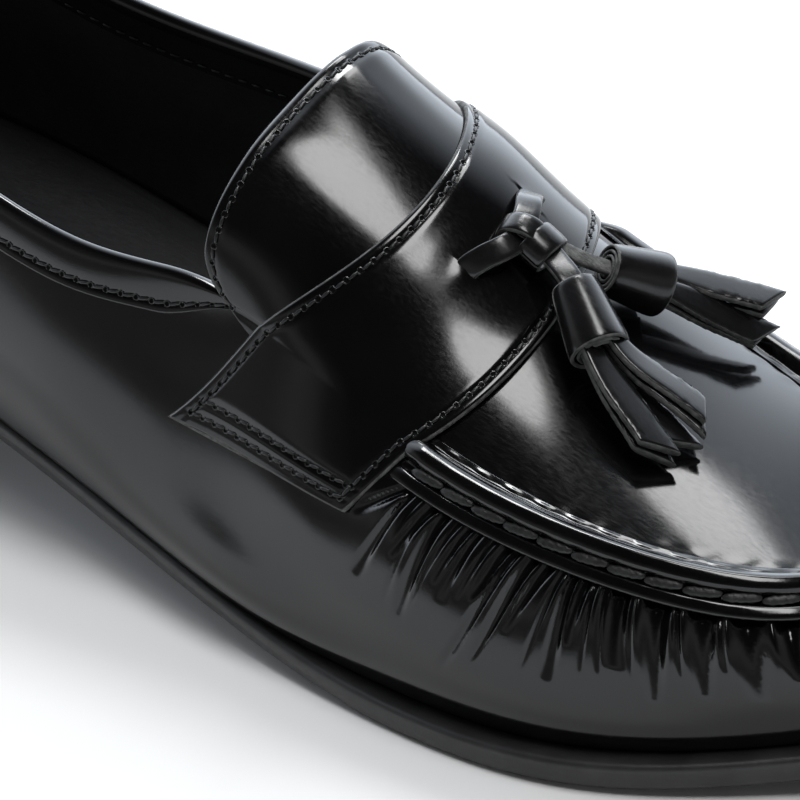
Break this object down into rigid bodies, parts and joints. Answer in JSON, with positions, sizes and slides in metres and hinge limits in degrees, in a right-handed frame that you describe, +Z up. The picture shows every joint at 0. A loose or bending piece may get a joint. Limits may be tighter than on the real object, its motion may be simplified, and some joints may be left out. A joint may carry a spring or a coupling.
{
  "type": "tassel loafer",
  "caption": "Black polished leather slip-on shoe for the right foot: stitched moccasin apron, saddle strap over a rounded tongue, knotted thong with fringed tassels, low heel.",
  "frame": {"origin": "on the floor under the middle of the shoe's box", "axes": "+X along the shoe towards the toe, -Y towards the outer side of the foot, +Z up"},
  "size_m": [0.2874, 0.0938, 0.0825],
  "materials": {
    "upper_leather": "black leather brushed to a high gloss",
    "tassel_leather": "black glossy leather with raw cut edges",
    "insole_leather": "matt dark grey leather",
    "sole_leather": "black inked and waxed edge"
  },
  "bodies": {
    "root": {"upper": "upper_leather", "apron_seam": "upper_leather", "saddle_strap": "upper_leather", "tongue": "upper_leather", "tassel_tie": "tassel_leather", "tassel_out": "tassel_leather", "tassel_in": "tassel_leather", "insole": "insole_leather", "outsole": "sole_leather", "heel": "sole_leather"}
  },
  "joints": []
}
